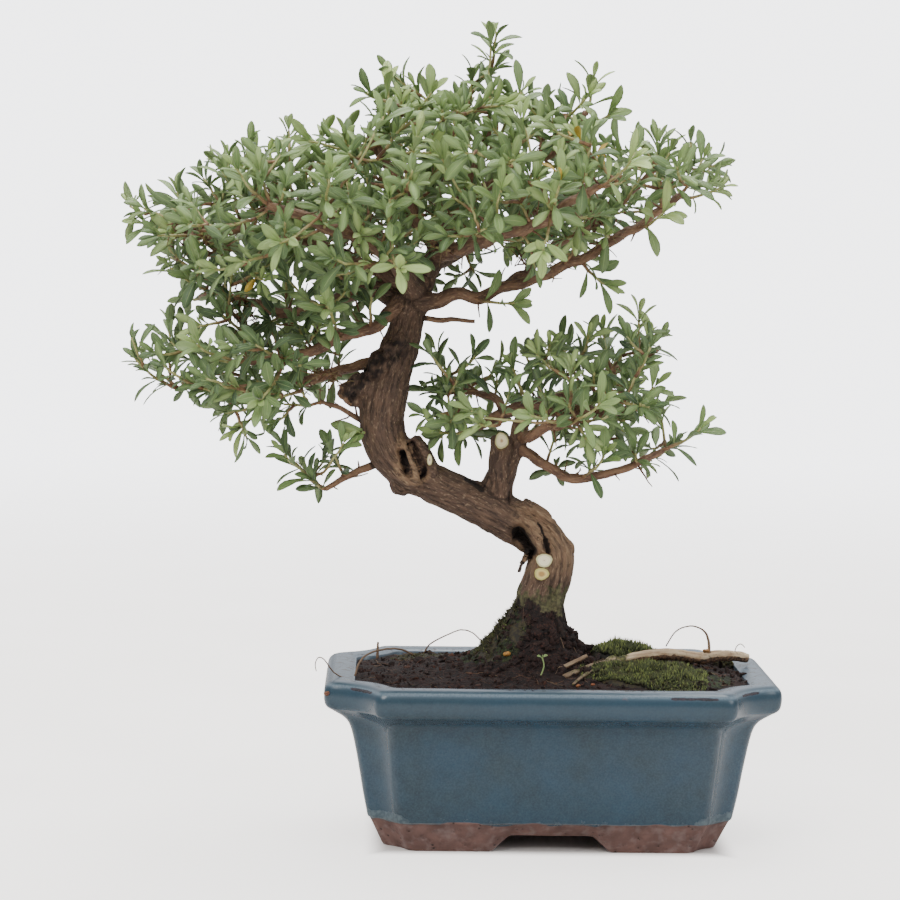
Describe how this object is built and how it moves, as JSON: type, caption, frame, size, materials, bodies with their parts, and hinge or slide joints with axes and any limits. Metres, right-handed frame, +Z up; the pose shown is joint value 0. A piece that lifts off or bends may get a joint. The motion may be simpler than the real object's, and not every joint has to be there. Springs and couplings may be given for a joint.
{
  "type": "coprosma bonsai in a pot",
  "caption": "Coprosma bonsai with a bent bare trunk and open leafy crown, planted in mossy soil in a blue-grey glazed pot with indented corners and feet.",
  "frame": {"origin": "on the surface that it stands on, under the middle of the whole outline", "axes": "+X along the pot to the right, -Y the front of the tree, +Z up to the tip of the crown"},
  "size_m": [0.2036, 0.129, 0.2515],
  "materials": {
    "glaze": "glossy blue-grey glaze, brown where it breaks over edges",
    "drain_mesh": "matt black plastic mesh",
    "soil": "moist dark peat with reddish fibres",
    "bark": "rough fissured bark",
    "leaf": "glossy green leaves on slim twigs",
    "moss": "soft yellow-green moss",
    "dead_wood": "pale dry stripped wood",
    "seedling": "tender bright green"
  },
  "bodies": {
    "root": {"pot": "glaze", "drain_mesh_left": "drain_mesh", "drain_mesh_right": "drain_mesh", "soil": "soil", "trunk": "bark", "moss_bank": "moss", "moss_collar": "moss", "dead_root": "dead_wood", "pruned_twig": "dead_wood", "seedling": "seedling", "spray_apex": "leaf", "spray_fan": "leaf", "spray_crown_back": "leaf", "spray_crown_front": "leaf", "spray_crown_right": "leaf", "spray_upper_right": "leaf", "spray_right_top": "leaf", "spray_right_end": "leaf", "spray_right_under": "leaf", "spray_right_spur": "leaf", "spray_front_right_mid": "leaf", "spray_front_right_end": "leaf", "spray_front_right_low": "leaf", "spray_back_right_low": "leaf", "spray_back_right_mid": "leaf", "spray_back_right_end": "leaf", "spray_right_middle": "leaf", "spray_right_low": "leaf", "spray_left_front_mid": "leaf", "spray_left_front_end": "leaf", "spray_left_front_low": "leaf", "spray_left_back_mid": "leaf", "spray_left_back_end": "leaf", "spray_left_back_low": "leaf", "spray_left_high_mid": "leaf", "spray_left_high_end": "leaf", "spray_left_far": "leaf", "spray_left_far_low": "leaf", "spray_left_top": "leaf", "spray_low_left_tip": "leaf", "spray_low_left_front": "leaf", "spray_low_left_hanging": "leaf", "spray_low_left_near": "leaf", "spray_low_left_back": "leaf", "spray_low_left_inner": "leaf", "spray_low_left_behind": "leaf", "spray_low_spray": "leaf", "spray_pad_left": "leaf", "spray_pad_low_left": "leaf", "spray_pad_inner": "leaf", "spray_pad_middle": "leaf", "spray_pad_top": "leaf", "spray_pad_top_right": "leaf", "spray_pad_right": "leaf", "spray_pad_tip": "leaf", "spray_pad_low": "leaf", "spray_pad_front": "leaf", "spray_pad_back": "leaf"}
  },
  "joints": []
}
